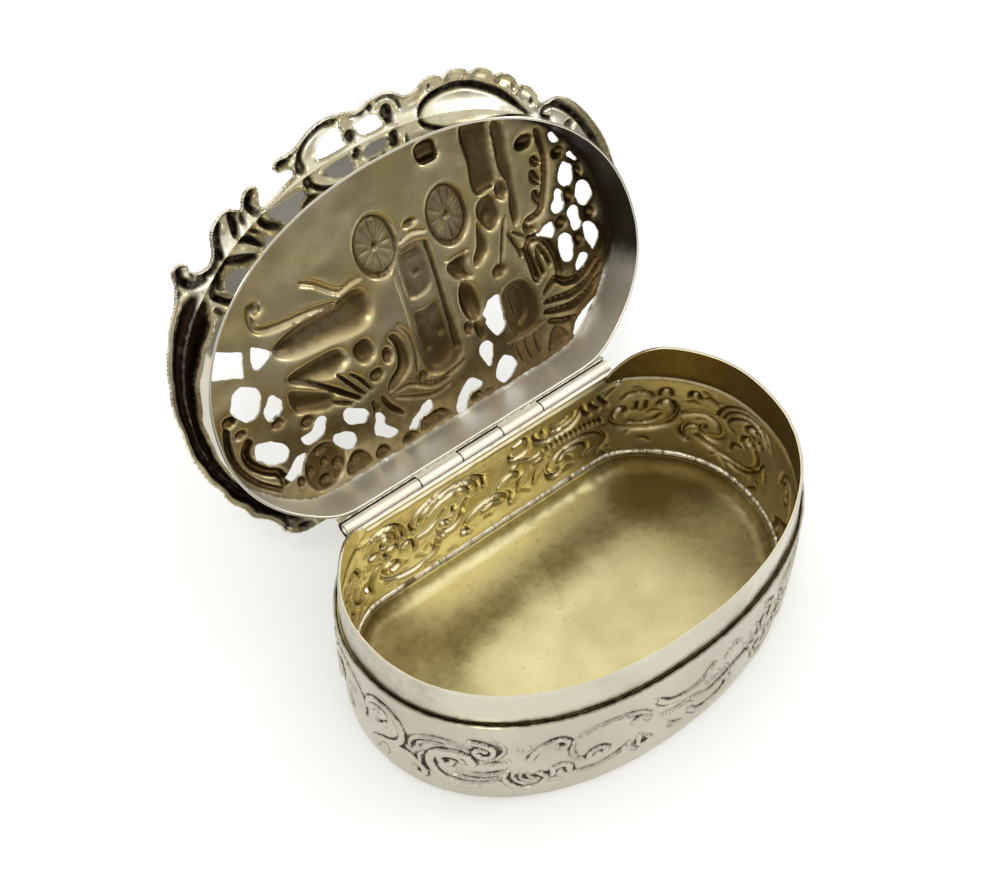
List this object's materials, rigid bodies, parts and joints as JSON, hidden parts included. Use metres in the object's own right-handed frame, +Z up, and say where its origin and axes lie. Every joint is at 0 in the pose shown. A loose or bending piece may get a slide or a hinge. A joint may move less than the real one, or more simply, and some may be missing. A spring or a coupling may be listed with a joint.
{
  "type": "trinket box",
  "caption": "Oval silver trinket box with a straight back, gilt inside, and a hinged pierced lid with an overhanging scrolled border.",
  "frame": {"origin": "middle of the base's underside, on the surface that the box stands on", "axes": "+Z up, +X along the hinge, -Y towards the front"},
  "size_m": [0.0955, 0.0946, 0.0789],
  "materials": {
    "silver": "polished silver, softly worn, dark in the recesses",
    "silver_hinge": "drawn silver tube, bright along the top",
    "silver_toned": "unpolished silver with brown and golden toning",
    "gilt": "worn satin silver gilt"
  },
  "bodies": {
    "body": {"body_wall": "silver", "bezel": "silver", "base_plate": "gilt", "floor_solder": "silver", "body_hinge_bearer": "silver", "body_knuckle_left": "silver_hinge", "body_knuckle_middle": "silver_hinge", "body_knuckle_right": "silver_hinge", "hinge_pin": "silver_hinge"},
    "lid": {"lid_hinge_bearer": "silver_toned", "lid_knuckle_left": "silver_hinge", "lid_knuckle_right": "silver_hinge", "lid_band": "silver_toned", "lid_sheet": "silver_toned"}
  },
  "joints": [
    {"name": "lid_hinge", "type": "hinge", "parent": "body", "child": "lid", "pos_m": [0, 0.02475, 0.0254], "axis": [1, 0, 0], "range_deg": [0, 116]}
  ]
}
